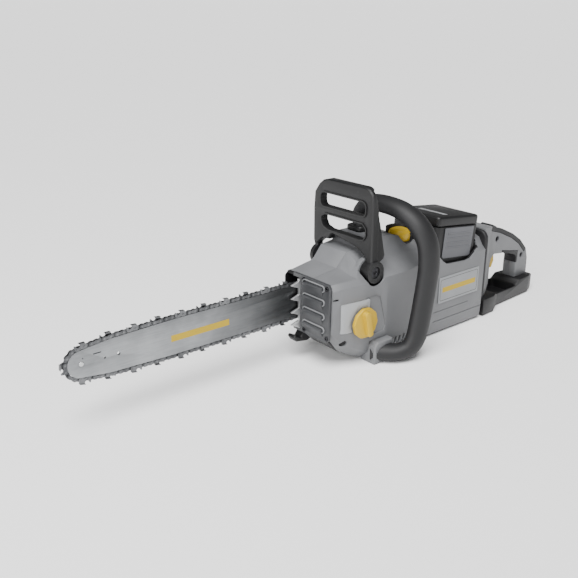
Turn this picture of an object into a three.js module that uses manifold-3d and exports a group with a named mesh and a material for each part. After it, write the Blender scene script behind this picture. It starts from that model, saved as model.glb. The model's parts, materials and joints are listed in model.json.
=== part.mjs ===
// Battery chainsaw: guide bar and chain, spiked bumper plate, clamshell body with a front
// handle, a hinged hand guard, a lift-out battery and a rear handle over a base guard.
// Millimetres. +X runs to the bar tip, +Y to the operator's left, +Z up. While the pieces are
// made, X = 0 is the bumper plate, Y = 0 the middle of the bar and Z = 0 its centre line; the
// whole saw is then moved so that the origin is the middle of its footprint.
import * as THREE from "three";
import { mergeVertices } from "three/addons/utils/BufferGeometryUtils.js";
import Module from "manifold-3d";

const wasm = await Module();
wasm.setup();

// ---- Driving dimensions ----
const GAP = 0.3; // clearance between pieces that touch
const WALL = 3; // moulded wall

// Cutting gear
const BAR_REACH = 322; // bumper plate to nose centre
const BAR_HALF = 23.5; // half height of the straight part
const BAR_THICK = 4;
const NOSE_R = 17;
const PITCH = 8.255; // chain pitch
const STRAP_H = 5.2; // side links above the rail
const CUTTER_H = 2.6; // cutters above the side links
const CHAIN_W = 6.4;
const CHAIN_LIFT = 0.5; // chain above the bar rail and the sprocket teeth
const NOSE_TEETH = 9;
const DRIVE_TEETH = 7;
const DRIVE_X = -75;
const SPROCKET_R = 17.5;

// Body
const SIDE_Y = 80; // widest point of the left side
const RIGHT_Y = -34;
const REAR_RIGHT_Y = -30;
const SEAM_Y = 30; // clamshell seam
const BAR_PAD_Y = 7; // body wall behind the bar
const FLOOR_Z = -88;
const DECK_Z = 79; // crown behind the guard
const BODY_FRONT = -4.3;
const BAY_FRONT = -198;
const BODY_REAR = -322;
const BASE_THICK = 5;

// Bumper plate
const PLATE_THICK = 4;
const PLATE_TOP = 39;
const PLATE_LOW = -45;
const PLATE_LEFT = 68;
const SPIKE_REACH = 17;

// Hand guard
const PIVOT_Z = 44;
const GUARD_TOP = 160;
const GUARD_THICK = 13;
const BOSS_R = 15.5;
const GUARD_LEFT = 75;
const GUARD_RIGHT = -46;

// Front handle
const TUBE_A = 17.5; // half width fore and aft
const TUBE_B = 12.5; // half width across
const HANDLE_OUT = SIDE_Y + 32; // reach of the side leg, with room for the fingers

// Battery
const BATTERY_L = 96;
const BATTERY_W = 90;
const BATTERY_H = 76;
const BATTERY_TILT = THREE.MathUtils.degToRad(6.5);
const BATTERY_X = -254;
const BATTERY_Y = 22;
const BATTERY_BASE_Z = 15;
const BAY_CLEAR = 1.2;

// Rear handle
const GRIP_Y = 30; // middle of the rear handle
const GRIP_HALF = 17;
const STRUT_HALF = 11.5; // half width of the strut at its rear end
const SEAL_LENGTH = 8;

// Motor and brake
const MOTOR_R = 28;
const MOTOR_Y0 = 20;
const MOTOR_Y1 = 52;
const SHAFT_R = 5;

// Oil system
const CAP_R = 22;
const CAP_X = -52;
const CAP_Z = -22;
const WINDOW_X0 = -16;
const WINDOW_X1 = -64;
const WINDOW_Z0 = -34;
const WINDOW_Z1 = 10;

// ---- Materials ----
const paint = (color, roughness, metalness = 0) =>
  new THREE.MeshStandardMaterial({ color, roughness, metalness });
const GREY = "#6f7072";
const LIGHT_GREY = "#b4b6b7";
const BLACK = "#242426";
const DARK = "#3a3a3c";
const YELLOW = "#f6dc00";
const STEEL = "#b4b4b6";

// ---- Solid helpers ----
function solid(geometry) {
  const bare = geometry.index ? geometry.toNonIndexed() : geometry.clone();
  for (const name of Object.keys(bare.attributes)) {
    if (name !== "position") bare.deleteAttribute(name);
  }
  const merged = mergeVertices(bare, 1e-4);
  return new wasm.Manifold(
    new wasm.Mesh({
      numProp: 3,
      vertProperties: new Float32Array(merged.attributes.position.array),
      triVerts: new Uint32Array(merged.index.array),
    }),
  );
}

function geometryOf(manifold) {
  const { vertProperties, triVerts } = manifold.getMesh();
  const geometry = new THREE.BufferGeometry();
  geometry.setAttribute("position", new THREE.BufferAttribute(new Float32Array(vertProperties), 3));
  geometry.setIndex(new THREE.BufferAttribute(new Uint32Array(triVerts), 1));
  geometry.computeVertexNormals();
  return geometry;
}

const cut = (body, ...tools) => tools.reduce((left, tool) => left.subtract(tool), body);
const join = (body, ...more) => more.reduce((left, piece) => left.add(piece), body);

const saw = new THREE.Group();
function piece(name, shape, material) {
  const mesh = new THREE.Mesh(geometryOf(shape), material);
  mesh.name = name;
  saw.add(mesh);
  return mesh;
}

function shapeOf(outline) {
  if (outline instanceof THREE.Shape) return outline;
  return new THREE.Shape(outline.map(([x, y]) => new THREE.Vector2(x, y)));
}
const SIDEWAYS = new THREE.Matrix4().makeRotationX(Math.PI / 2);
const FORWARD = new THREE.Matrix4().makeBasis(
  new THREE.Vector3(0, 1, 0),
  new THREE.Vector3(0, 0, 1),
  new THREE.Vector3(1, 0, 0),
);

function slab(shape, depth, bevel = 0, curveSegments = 4) {
  return new THREE.ExtrudeGeometry(shape, {
    depth: depth - 2 * bevel,
    bevelEnabled: bevel > 0,
    bevelThickness: bevel,
    bevelSize: bevel,
    bevelOffset: -bevel,
    bevelSegments: 1,
    curveSegments,
  }).translate(0, 0, bevel);
}

// Outline in X and Z, extruded along Y from y0 to y1.
function sidePlate(points, y0, y1, bevel = 0) {
  return solid(slab(shapeOf(points), y1 - y0, bevel).applyMatrix4(SIDEWAYS).translate(0, y1, 0));
}

// Outline in Y and Z, extruded along X from x0 to x1.
function frontPlate(points, x0, x1, bevel = 0) {
  return solid(slab(shapeOf(points), x1 - x0, bevel).applyMatrix4(FORWARD).translate(x0, 0, 0));
}

// Outline in X and Y, extruded along Z from z0 to z1.
function deckPlate(points, z0, z1, bevel = 0) {
  return solid(slab(shapeOf(points), z1 - z0, bevel).translate(0, 0, z0));
}

function block(x0, x1, y0, y1, z0, z1) {
  const size = new THREE.BoxGeometry(Math.abs(x1 - x0), Math.abs(y1 - y0), Math.abs(z1 - z0));
  return solid(size.translate((x0 + x1) / 2, (y0 + y1) / 2, (z0 + z1) / 2));
}

// Round bar along Y.
function rod(x, z, r, y0, y1, sides = 18) {
  return solid(new THREE.CylinderGeometry(r, r, y1 - y0, sides).translate(x, (y0 + y1) / 2, z));
}

// Round bar along X.
function frontRod(y, z, r, x0, x1, sides = 12) {
  const bar = new THREE.CylinderGeometry(r, r, x1 - x0, sides).rotateZ(Math.PI / 2);
  return solid(bar.translate((x0 + x1) / 2, y, z));
}

// Round bar along Z.
function postRod(x, y, r, z0, z1, sides = 20) {
  const bar = new THREE.CylinderGeometry(r, r, z1 - z0, sides).rotateX(Math.PI / 2);
  return solid(bar.translate(x, y, (z0 + z1) / 2));
}

function roundedRect(x0, x1, y0, y1, r) {
  const shape = new THREE.Shape();
  shape.moveTo(x0 + r, y0);
  shape.lineTo(x1 - r, y0);
  shape.quadraticCurveTo(x1, y0, x1, y0 + r);
  shape.lineTo(x1, y1 - r);
  shape.quadraticCurveTo(x1, y1, x1 - r, y1);
  shape.lineTo(x0 + r, y1);
  shape.quadraticCurveTo(x0, y1, x0, y1 - r);
  shape.lineTo(x0, y0 + r);
  shape.quadraticCurveTo(x0, y0, x0 + r, y0);
  return shape;
}

// Polygon moved inwards by t (counter-clockwise points).
function inset(points, t) {
  const count = points.length;
  return points.map(([x, y], i) => {
    const [px, py] = points[(i + count - 1) % count];
    const [nx, ny] = points[(i + 1) % count];
    const before = new THREE.Vector2(x - px, y - py).normalize();
    const after = new THREE.Vector2(nx - x, ny - y).normalize();
    const normal = new THREE.Vector2(-before.y - after.y, before.x + after.x);
    const scale = 2 / Math.max(normal.lengthSq(), 0.8);
    return [x + normal.x * scale * t, y + normal.y * scale * t];
  });
}

// Closed skin through sections {x, points: [[y, z], ...]} given from front to back.
function loft(sections) {
  const ring = sections[0].points.length;
  const position = [];
  const index = [];
  for (const { x, points } of sections) {
    for (const [y, z] of points) position.push(x, y, z);
  }
  for (let s = 0; s + 1 < sections.length; s += 1) {
    for (let i = 0; i < ring; i += 1) {
      const a = s * ring + i;
      const b = s * ring + ((i + 1) % ring);
      index.push(a, a + ring, b + ring, a, b + ring, b);
    }
  }
  const capOf = (points) =>
    THREE.ShapeUtils.triangulateShape(points.map(([y, z]) => new THREE.Vector2(y, z)), []);
  for (const [a, b, c] of capOf(sections[0].points)) index.push(a, b, c);
  const last = (sections.length - 1) * ring;
  for (const [a, b, c] of capOf(sections.at(-1).points)) index.push(last + a, last + c, last + b);
  const geometry = new THREE.BufferGeometry();
  geometry.setAttribute("position", new THREE.Float32BufferAttribute(position, 3));
  geometry.setIndex(index);
  return solid(geometry);
}

// ---- Bar, chain and sprockets ----
// Loop outline around the bar, a distance out from its rail: nose arc, tapered flanks, then
// back to an end of half height tail at X = tailX, round for the drive sprocket.
function loopOutline(out, tailX, tailR) {
  const upper = [];
  const noseR = NOSE_R + out;
  for (let i = 0; i <= 9; i += 1) {
    const angle = (i / 9) * (Math.PI / 2 - 0.07);
    upper.push([BAR_REACH + noseR * Math.cos(angle), noseR * Math.sin(angle)]);
  }
  upper.push([BAR_REACH - 36, 21.3 + out]);
  upper.push([BAR_REACH - 120, BAR_HALF + out]);
  upper.push([30, BAR_HALF + out]);
  if (tailR) {
    for (let i = 0; i <= 8; i += 1) {
      const angle = Math.PI / 2 + (i / 8) * (Math.PI / 2);
      upper.push([tailX + tailR * Math.cos(angle), tailR * Math.sin(angle)]);
    }
  } else {
    upper.push([-20, 21 + out], [tailX + 8, 18 + out], [tailX, 10 + out]);
  }
  const onAxis = ([, z]) => Math.abs(z) < 1e-6;
  const lower = upper.filter((point) => !onAxis(point)).map(([x, z]) => [x, -z]);
  return [...upper, ...lower.reverse()];
}

const BAR_TAIL = -46;
const STUD_X = [-14, -38];
const noseSlot = rod(BAR_REACH, 0, NOSE_R - 1.2, -1.1, 1.1, 24);
const noseMouth = block(BAR_REACH, BAR_REACH + NOSE_R + 2, -1.1, 1.1, -NOSE_R, NOSE_R);
piece(
  "guide_bar",
  cut(
    sidePlate(loopOutline(0, BAR_TAIL, 0), -BAR_THICK / 2, BAR_THICK / 2),
    noseSlot,
    noseMouth,
    rod(BAR_REACH, 0, 3.3, -3, 3),
    rod(BAR_REACH - 29, 0, 1.6, -3, 3, 12),
    rod(BAR_REACH - 47, 0, 2.3, -3, 3, 12),
    sidePlate(roundedRect(STUD_X[1] - 4.5, STUD_X[0] + 4.5, -4.4, 4.4, 4), -3, 3),
    rod(-26, 14, 3.2, -3, 3, 12),
  ),
  paint(STEEL, 0.34, 0.85),
);

function sprocketOutline(x, teeth, rootR, tipR) {
  const points = [];
  for (let i = 0; i < teeth; i += 1) {
    const start = (i / teeth) * Math.PI * 2;
    for (const [share, r] of [[0, tipR], [0.28, tipR], [0.45, rootR], [0.83, rootR]]) {
      const angle = start + (share / teeth) * Math.PI * 2;
      points.push([x + r * Math.cos(angle), r * Math.sin(angle)]);
    }
  }
  return points;
}

piece(
  "nose_sprocket",
  cut(
    sidePlate(sprocketOutline(BAR_REACH, NOSE_TEETH, NOSE_R - 4.5, NOSE_R - 1.5), -0.8, 0.8),
    rod(BAR_REACH, 0, 3 + GAP, -2, 2),
  ),
  paint("#8f9092", 0.35, 0.9),
);
piece("nose_rivet", rod(BAR_REACH, 0, 3, -2.2, 2.2, 20), paint("#7c7d7f", 0.4, 0.9));

// Chain: an endless band of side links with a cutter on every fourth link.
const CHAIN_TAIL_R = SPROCKET_R + CHAIN_LIFT;
const inner = loopOutline(CHAIN_LIFT, DRIVE_X, CHAIN_TAIL_R);
const outer = loopOutline(CHAIN_LIFT + STRAP_H, DRIVE_X, CHAIN_TAIL_R + STRAP_H);
const band = cut(
  sidePlate(outer, -CHAIN_W / 2, CHAIN_W / 2),
  sidePlate(inner, -CHAIN_W, CHAIN_W),
);
function walk(points, step, visit) {
  const path = new THREE.CurvePath();
  points.forEach(([x, z], i) => {
    const [nx, nz] = points[(i + 1) % points.length];
    path.add(new THREE.LineCurve(new THREE.Vector2(x, z), new THREE.Vector2(nx, nz)));
  });
  const total = path.getLength();
  const count = Math.round(total / step);
  for (let i = 0; i < count; i += 1) {
    const at = path.getPointAt(i / count);
    const ahead = path.getPointAt(Math.min(i / count + 2 / total, 1));
    visit(at, Math.atan2(ahead.y - at.y, ahead.x - at.x), i);
  }
}
const cutters = [];
walk(outer, PITCH * 4, (at, angle, i) => {
  const side = i % 2 ? 1 : -1;
  const tooth = [[-7, -1.5], [6, -1.5], [6, 1.6], [4, 1.8], [3, 0.2], [1, 0.2], [0.4, CUTTER_H], [-7, 1.9]];
  const width = CHAIN_W * 0.62;
  const y0 = side > 0 ? CHAIN_W / 2 - width : -CHAIN_W / 2;
  const shape = slab(shapeOf(tooth), width).applyMatrix4(SIDEWAYS).translate(0, y0 + width, 0);
  // The loop is walked against the way the chain runs, with its outside on the right hand.
  cutters.push(solid(shape.rotateY(Math.PI - angle).translate(at.x, 0, at.y)));
});
piece("saw_chain", join(band, ...cutters), paint("#6d6e70", 0.42, 0.8));

const DRUM_R = 26;
const DRUM_Y0 = 11;
const DRUM_Y1 = 18;
piece(
  "drive_sprocket",
  cut(
    join(
      sidePlate(sprocketOutline(DRIVE_X, DRIVE_TEETH, SPROCKET_R - 4.5, SPROCKET_R), -1.2, 1.2),
      rod(DRIVE_X, 0, 10, -5, 5.5),
      rod(DRIVE_X, 0, 8, -6.6, -4.9),
    ),
    rod(DRIVE_X, 0, SHAFT_R + GAP, -10, 10),
  ),
  paint("#8a8b8d", 0.4, 0.85),
);
piece(
  "brake_drum",
  cut(
    rod(DRIVE_X, 0, DRUM_R, DRUM_Y0, DRUM_Y1, 24),
    rod(DRIVE_X, 0, DRUM_R - 3, DRUM_Y0 + 2.4, DRUM_Y1 + 1, 24),
    rod(DRIVE_X, 0, SHAFT_R + GAP, 0, 30),
  ),
  paint("#77787a", 0.45, 0.8),
);
piece(
  "brake_band",
  cut(
    rod(DRIVE_X, 0, DRUM_R + 2.4, DRUM_Y0 + 1, DRUM_Y1 - 1, 24),
    rod(DRIVE_X, 0, DRUM_R + 0.8, DRUM_Y0, DRUM_Y1, 24),
    block(DRIVE_X - 6, DRIVE_X + 6, DRUM_Y0, DRUM_Y1, DRUM_R - 6, DRUM_R + 6),
  ),
  paint("#8c8c90", 0.4, 0.85),
);
piece(
  "motor_shaft",
  rod(DRIVE_X, 0, SHAFT_R, -7.4, MOTOR_Y1 - WALL - 1, 24),
  paint("#a2a3a6", 0.3, 0.9),
);
piece(
  "motor_rotor",
  cut(
    rod(DRIVE_X, 0, 17, MOTOR_Y0 + 6, MOTOR_Y1 - 8, 24),
    rod(DRIVE_X, 0, SHAFT_R + GAP, 0, MOTOR_Y1 + 4),
  ),
  paint("#5b5c60", 0.5, 0.6),
);
piece(
  "motor_case",
  cut(
    join(
      rod(DRIVE_X, 0, MOTOR_R, MOTOR_Y0, MOTOR_Y1, 24),
      ...[0, 1, 2].map((i) =>
        rod(DRIVE_X, 0, MOTOR_R + 2, MOTOR_Y0 + 6 + i * 8, MOTOR_Y0 + 9 + i * 8, 24),
      ),
    ),
    rod(DRIVE_X, 0, 18, MOTOR_Y0 + 4, MOTOR_Y1 - WALL, 24),
    rod(DRIVE_X, 0, SHAFT_R + 1, MOTOR_Y0 - 1, MOTOR_Y0 + 5),
  ),
  paint("#8b8d90", 0.4, 0.7),
);

// ---- Body ----
// Section of the body: eleven corners from the lower right edge, counter-clockwise.
function section(
  x, right, left, floor, corner, waist, shoulder, ridge, crownLeft, crown, crownRight, ear,
) {
  return {
    x,
    points: [
      [right + 6, floor],
      [left - corner, floor],
      [left - corner * 0.22, floor + corner * 0.78],
      [left, floor + corner + 14],
      [left, waist],
      [left - 7, waist + 7],
      [shoulder, ridge],
      [crownLeft, crown],
      [crownRight, crown],
      [right + 5, ear],
      [right, ear - 8],
      [right, floor + 6],
    ],
  };
}

const CORNER = 18; // lower left edge of the front half
const SKIRT = 6; // lower left edge of the rear half
const bodySections = [
  //      x, right, left, floor, corner, waist, shoulder y and z, crown left, crown z, crown right, ear
  section(BODY_FRONT, RIGHT_Y + 8, SIDE_Y - 10, FLOOR_Z + 42, CORNER, 30, 54, 39, 46, 39.5, -18, 37),
  section(-22, RIGHT_Y + 7, SIDE_Y - 5, FLOOR_Z + 24, CORNER, 32, 55, 40, 44, 42, -19, 39),
  section(-46, RIGHT_Y + 4, SIDE_Y - 1, FLOOR_Z + 11, CORNER, 33, 56, 41, 40, 45, -21, 42),
  section(-64, RIGHT_Y, SIDE_Y, FLOOR_Z + 3, CORNER, 34, 49, 56, 30, DECK_Z - 15, -23, 51),
  section(-85, RIGHT_Y, SIDE_Y, FLOOR_Z, CORNER, 34, 51, 55, 34, DECK_Z - 12, -23, 52),
  section(-99, RIGHT_Y, SIDE_Y, FLOOR_Z, CORNER, 34, 54, 54, 40, DECK_Z, -24, 53),
  section(-140, RIGHT_Y, SIDE_Y - 1, FLOOR_Z, CORNER, 34, 58, 54, 44, DECK_Z, -24, 53),
  section(-176, RIGHT_Y + 2, SIDE_Y - 4, FLOOR_Z, CORNER - 6, 38, 62, 57, 48, DECK_Z - 11, -21, 52),
  section(BAY_FRONT - 2, REAR_RIGHT_Y, SIDE_Y - 5, FLOOR_Z, SKIRT, 40, 62, 52, 50, 56, -20, 48),
  section(-270, REAR_RIGHT_Y, SIDE_Y - 5, FLOOR_Z, SKIRT, 32, 60, 43, 50, 45, -20, 40),
  section(BODY_REAR, REAR_RIGHT_Y, SIDE_Y - 5, FLOOR_Z, SKIRT, 28, 61, 46, 50, 50, -18, 44),
];
const bodySolid = loft(bodySections);
const hollowSections = bodySections.map(({ x, points }) => ({ x, points: inset(points, WALL) }));
hollowSections[0].x -= WALL;
hollowSections.at(-1).x += WALL;
const bodyHollow = loft(hollowSections);

// Bar side: everything right of the pad is open for the chain, under the brake housing.
const CHAIN_BAY_TOP = 38;
const CHAIN_BAY_BACK = -128;
const chainBay = block(CHAIN_BAY_BACK, 10, RIGHT_Y - 10, BAR_PAD_Y, FLOOR_Z - 10, CHAIN_BAY_TOP);
const barPad = block(CHAIN_BAY_BACK, BODY_FRONT, BAR_PAD_Y, BAR_PAD_Y + WALL, -60, CHAIN_BAY_TOP);
const bayRoof = block(
  CHAIN_BAY_BACK, -66, RIGHT_Y + 3, BAR_PAD_Y + WALL, CHAIN_BAY_TOP, CHAIN_BAY_TOP + WALL,
);
const bayBack = block(
  CHAIN_BAY_BACK - WALL, CHAIN_BAY_BACK, RIGHT_Y + 3, BAR_PAD_Y + WALL, FLOOR_Z + 3, CHAIN_BAY_TOP + WALL,
);

// Battery bay: a black liner drops into the open top and through a notch in the left wall.
function batteryFrame(shape) {
  return shape
    .rotate([0, -THREE.MathUtils.radToDeg(BATTERY_TILT), 0])
    .translate([BATTERY_X, BATTERY_Y, BATTERY_BASE_Z]);
}
const half = (value) => value / 2;
const LINER = 2.4;
function batteryBox(grow, bottom, top) {
  return batteryFrame(
    block(
      -half(BATTERY_L) - grow, half(BATTERY_L) + grow,
      -half(BATTERY_W) - grow, half(BATTERY_W) + grow,
      bottom, top,
    ),
  );
}
const bayHole = batteryBox(BAY_CLEAR + LINER + GAP, -BAY_CLEAR - LINER - GAP, 200);
const notchPoints = [
  [-205, 90], [-205, 44], [-221, 29], [-231, 23], [-274, 19.7], [-286, 21], [-309, 37], [-309, 90],
];
const bayNotch = sidePlate(notchPoints, 60, 90);

// Seats in the body for the pieces fixed to it
const pivotPocket = rod(DRIVE_X, PIVOT_Z, BOSS_R + 3.5, 61, 95, 24);
const pivotBoss = rod(DRIVE_X, PIVOT_Z, BOSS_R + 2.5, 54, 61, 24);
const rightBoss = rod(DRIVE_X, PIVOT_Z, 9, RIGHT_Y - 1.5, RIGHT_Y + 12, 24);
const axleHole = rod(DRIVE_X, PIVOT_Z, 4 + GAP, -80, -20);
const axleHoleLeft = rod(DRIVE_X, PIVOT_Z, 4 + GAP, 40, 95);
const CAP_Y = SIDE_Y - 8;
const capHole = rod(CAP_X, CAP_Z, 14, CAP_Y - 20, 100, 24);
const windowSeat = (grow, y0, y1) =>
  sidePlate(
    roundedRect(WINDOW_X1 - grow, WINDOW_X0 + grow, WINDOW_Z0 - grow, WINDOW_Z1 + grow, 3),
    y0,
    y1,
  );
const CLAMP = { x0: -101, x1: -66, y0: SIDE_Y - 18, y1: SIDE_Y + 11, z0: FLOOR_Z + 0.5, z1: -55 };
const clampBox = (grow) =>
  block(
    CLAMP.x0 - grow, CLAMP.x1 + grow,
    CLAMP.y0 - grow, CLAMP.y1 + grow,
    CLAMP.z0 - grow - 1, CLAMP.z1 + grow,
  );
const SCREW_R = 4.6;
const SIDE_SCREW = { x: -24, z: -50 };
const sideScrewSeat = rod(SIDE_SCREW.x, SIDE_SCREW.z, SCREW_R + GAP, 49, 100, 20);
const BUTTON = { x: -168, y: 32, r: 16, bezel: 20.5, floor: 48, top: 83 };

// Base cover under the body
const BASE_Y0 = BAR_PAD_Y + 5;
const BASE_Y1 = SIDE_Y - 22;
const floorLine = bodySections.map(({ x, points }) => [x, points[0][1]]);
const baseTop = floorLine.toReversed().map(([x, z]) => [x, z + BASE_THICK]);
const basePanel = sidePlate([...floorLine, ...baseTop], BASE_Y0, BASE_Y1);
const baseSeat = sidePlate(
  [
    [12, FLOOR_Z - 20],
    [12, floorLine[0][1] + BASE_THICK + GAP],
    ...floorLine.map(([x, z]) => [x, z + BASE_THICK + GAP]),
    [BODY_REAR - 12, FLOOR_Z + 1 + BASE_THICK + GAP],
    [BODY_REAR - 12, FLOOR_Z - 20],
  ],
  BASE_Y0 - GAP,
  BASE_Y1 + GAP,
);
piece("base_cover", basePanel, paint(BLACK, 0.6));

// Vents in the deck's left flank and the moulded shells
const vents = [0, 1, 2, 3, 4].map((i) => block(-124 - i * 9, -120 - i * 9, 66, 90, -78, -64));
const CAP_RING_R = CAP_R - 2;
const capBoss = (grow, y0, y1) => rod(CAP_X, CAP_Z, CAP_RING_R + grow, y0, y1, 24);
const windowHole = windowSeat(GAP, 60, 90).subtract(capBoss(0, 50, 95));
const sidePanel = sidePlate(
  [[-58, 13], [-76, 13], [-84, 8], [-97, -38], [-93, -45], [-50, -45], [-40, -36]],
  SIDE_Y - 1.6,
  SIDE_Y + 10,
);
const ledges = [[-288, -50], [BODY_REAR - 2, -65]].map(([x, z]) =>
  block(x, BAY_FRONT - 8, SIDE_Y - 5.8, SIDE_Y + 5, z - 0.6, z + 0.6),
);
const frontSlot = block(-13, -4, SIDE_Y - 12, SIDE_Y + 10, 16, 19);
const shellTools = [
  sidePanel, ...ledges, frontSlot,
  chainBay, bayHole, bayNotch, pivotPocket, axleHole, axleHoleLeft, capHole,
  windowHole, clampBox(GAP), sideScrewSeat, baseSeat, ...vents,
];
const rawShell = join(cut(bodySolid, bodyHollow), barPad.intersect(bodySolid), bayRoof, bayBack);
const capRing = capBoss(0, CAP_Y - 4, SIDE_Y - 3).intersect(bodySolid);
const shell = cut(join(rawShell, pivotBoss, rightBoss, capRing), ...shellTools);
const buttonWell = postRod(BUTTON.x, BUTTON.y, BUTTON.bezel + GAP, BUTTON.floor - GAP, 120, 24);
const shaftPass = rod(DRIVE_X, 0, 12, -20, BAR_PAD_Y + 8);
const studPass = STUD_X.map((x) => rod(x, 0, 4 + GAP, -20, BAR_PAD_Y + 8, 16));
const openShell = cut(shell, buttonWell, shaftPass, ...studPass);
const leftRegion = block(BODY_REAR - 10, 20, SEAM_Y + GAP / 2, 140, -140, 200);
const rightRegion = block(BODY_REAR - 10, 20, -140, SEAM_Y - GAP / 2, -140, 200);
const biggest = (shape) =>
  shape.decompose().reduce((best, part) => (part.volume() > best.volume() ? part : best));
piece("left_housing", biggest(openShell.intersect(leftRegion)), paint(GREY, 0.55));
piece("right_housing", biggest(openShell.intersect(rightRegion)), paint(GREY, 0.55));

// ---- Front of the body ----
const PLATE_RIGHT = 8.7;
const ribs = [31.2, 11.2, -9, -28.6].map((z) =>
  sidePlate([[-1, z - 13], [3.8, z - 2], [3.8, z], [-1, z + 1.6]], PLATE_RIGHT + 5, PLATE_LEFT - 14),
);
const plateScrews = [
  [PLATE_LEFT - 6, PLATE_TOP - 6],
  [PLATE_LEFT - 6, PLATE_LOW + 6],
  [PLATE_RIGHT + 6, PLATE_TOP - 4.6],
  [PLATE_RIGHT + 6, PLATE_LOW + 5],
];
const TAB = 5;
const plateOutline = [
  [-TAB - 3, PLATE_TOP], [-TAB - 3, PLATE_TOP - TAB],
  [PLATE_RIGHT, PLATE_TOP - TAB], [PLATE_RIGHT, PLATE_LOW + TAB],
  [-TAB - 3, PLATE_LOW + TAB], [-TAB - 3, PLATE_LOW],
  [PLATE_LEFT - 8, PLATE_LOW - 1], [PLATE_LEFT - 2, PLATE_LOW + 4],
  [PLATE_LEFT, PLATE_TOP - 5], [PLATE_LEFT - 4, PLATE_TOP],
];
piece(
  "bumper_plate",
  cut(
    join(frontPlate(plateOutline, -PLATE_THICK, 0), ...ribs),
    ...plateScrews.map(([y, z]) => frontRod(y, z, 3.2 + GAP, -10, 10)),
  ),
  paint(GREY, 0.45, 0.2),
);
plateScrews.forEach(([y, z], i) => {
  piece(`plate_screw_${i + 1}`, frontRod(y, z, 3.2, -3.6, 1.4, 14), paint(DARK, 0.4, 0.7));
});

const STRIP_Y0 = 4.6;
const STRIP_Y1 = 8.3;
const SPIKE_Z = [25, 5.5, -14.5, -33.5];
piece(
  "spike_bar",
  join(
    block(-3.8, 3, STRIP_Y0, STRIP_Y1, PLATE_LOW + TAB + GAP + 0.4, PLATE_TOP - TAB - GAP - 0.4),
    ...SPIKE_Z.map((z) =>
      sidePlate([[-2, z - 5.5], [2, z - 5.5], [SPIKE_REACH, z + 1], [3, z + 5.5]], STRIP_Y0, STRIP_Y1),
    ),
  ),
  paint("#c8c8ca", 0.3, 0.9),
);
piece(
  "chain_catcher",
  sidePlate(
    [[-30, -47], [-30, -58], [-14, -64], [6, -61], [11, -54], [8, -51], [-2, -56], [-8, -47]],
    -9,
    BAR_PAD_Y - GAP,
    1,
  ),
  paint(BLACK, 0.6),
);

// ---- Sprocket cover, bar studs and tensioner ----
const COVER_FRONT = 3;
const COVER_BACK = -124;
const COVER_Y = -25;
const COVER_DEEP_Y = -33;
const COVER_TOP = CHAIN_BAY_TOP - GAP - 0.2;
const COVER_LOW = -43;
const COVER_WALL = 2.6;
const coverFace = [
  [COVER_FRONT, 20], [COVER_FRONT, COVER_TOP - 6], [COVER_FRONT - 6, COVER_TOP],
  [COVER_BACK + 8, COVER_TOP], [COVER_BACK, COVER_TOP - 8],
  [COVER_BACK, COVER_LOW + 14], [COVER_BACK + 14, COVER_LOW],
  [COVER_FRONT - 26, COVER_LOW], [COVER_FRONT - 6, -24],
];
const coverBulge = [
  [-48, COVER_TOP], [COVER_BACK + 8, COVER_TOP], [COVER_BACK, COVER_TOP - 8],
  [COVER_BACK, COVER_LOW + 14], [COVER_BACK + 14, COVER_LOW], [-58, COVER_LOW], [-48, -24],
];
const coverInside = BAR_PAD_Y - GAP;
const coverVents = [0, 1, 2, 3].map((i) =>
  block(-104 + i * 13, -98 + i * 13, COVER_DEEP_Y - 2, COVER_DEEP_Y + 6, -24, 18),
);
const openFront = block(-20, 20, COVER_Y + COVER_WALL, 20, -34, COVER_TOP - COVER_WALL);
const tabNotch = block(
  -PLATE_THICK - GAP, COVER_FRONT + 1, -TAB - 3 - GAP, 20, PLATE_TOP - TAB - GAP, CHAIN_BAY_TOP + 2,
);
const chipOutlet = block(-100, -70, COVER_Y + COVER_WALL, 20, COVER_LOW - 5, COVER_LOW + 6);
piece(
  "sprocket_cover",
  cut(
    join(
      sidePlate(coverFace, COVER_Y, coverInside, 1.6),
      sidePlate(coverBulge, COVER_DEEP_Y, coverInside, 1.6),
    ),
    sidePlate(inset(coverFace, COVER_WALL), COVER_Y + COVER_WALL, 20),
    sidePlate(inset(coverBulge, COVER_WALL), COVER_DEEP_Y + COVER_WALL, 20),
    openFront,
    tabNotch,
    chipOutlet,
    ...coverVents,
    ...STUD_X.map((x) => rod(x, 0, 4 + GAP, -40, 0, 16)),
  ),
  paint(DARK, 0.55),
);
STUD_X.forEach((x, i) => {
  piece(`bar_stud_${i + 1}`, rod(x, 0, 4, COVER_Y - 6, BAR_PAD_Y + 6, 16), paint(STEEL, 0.35, 0.9));
  piece(
    `bar_nut_${i + 1}`,
    cut(
      join(
        rod(x, 0, 8.5, COVER_Y - 2, COVER_Y - GAP, 24),
        rod(x, 0, 7, COVER_Y - 7.5, COVER_Y - 1.5, 6),
      ),
      rod(x, 0, 4 + GAP, -60, 0, 16),
    ),
    paint("#5a5b5e", 0.4, 0.85),
  );
});
piece("tension_pin", rod(-26, 14, 2.8, -2.8, BAR_PAD_Y - GAP, 16), paint(STEEL, 0.35, 0.9));
piece(
  "tension_screw",
  join(frontRod(14.5, 14, 2.6, -42, -9), frontRod(14.5, 14, 4, -11, -7.6, 6)),
  paint("#88898c", 0.35, 0.9),
);
piece(
  "shaft_bearing",
  cut(
    rod(DRIVE_X, 0, 12 - GAP, BAR_PAD_Y - 0.4, BAR_PAD_Y + WALL, 28),
    rod(DRIVE_X, 0, SHAFT_R + GAP, 0, 20),
  ),
  paint("#9a9b9e", 0.3, 0.9),
);

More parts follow.
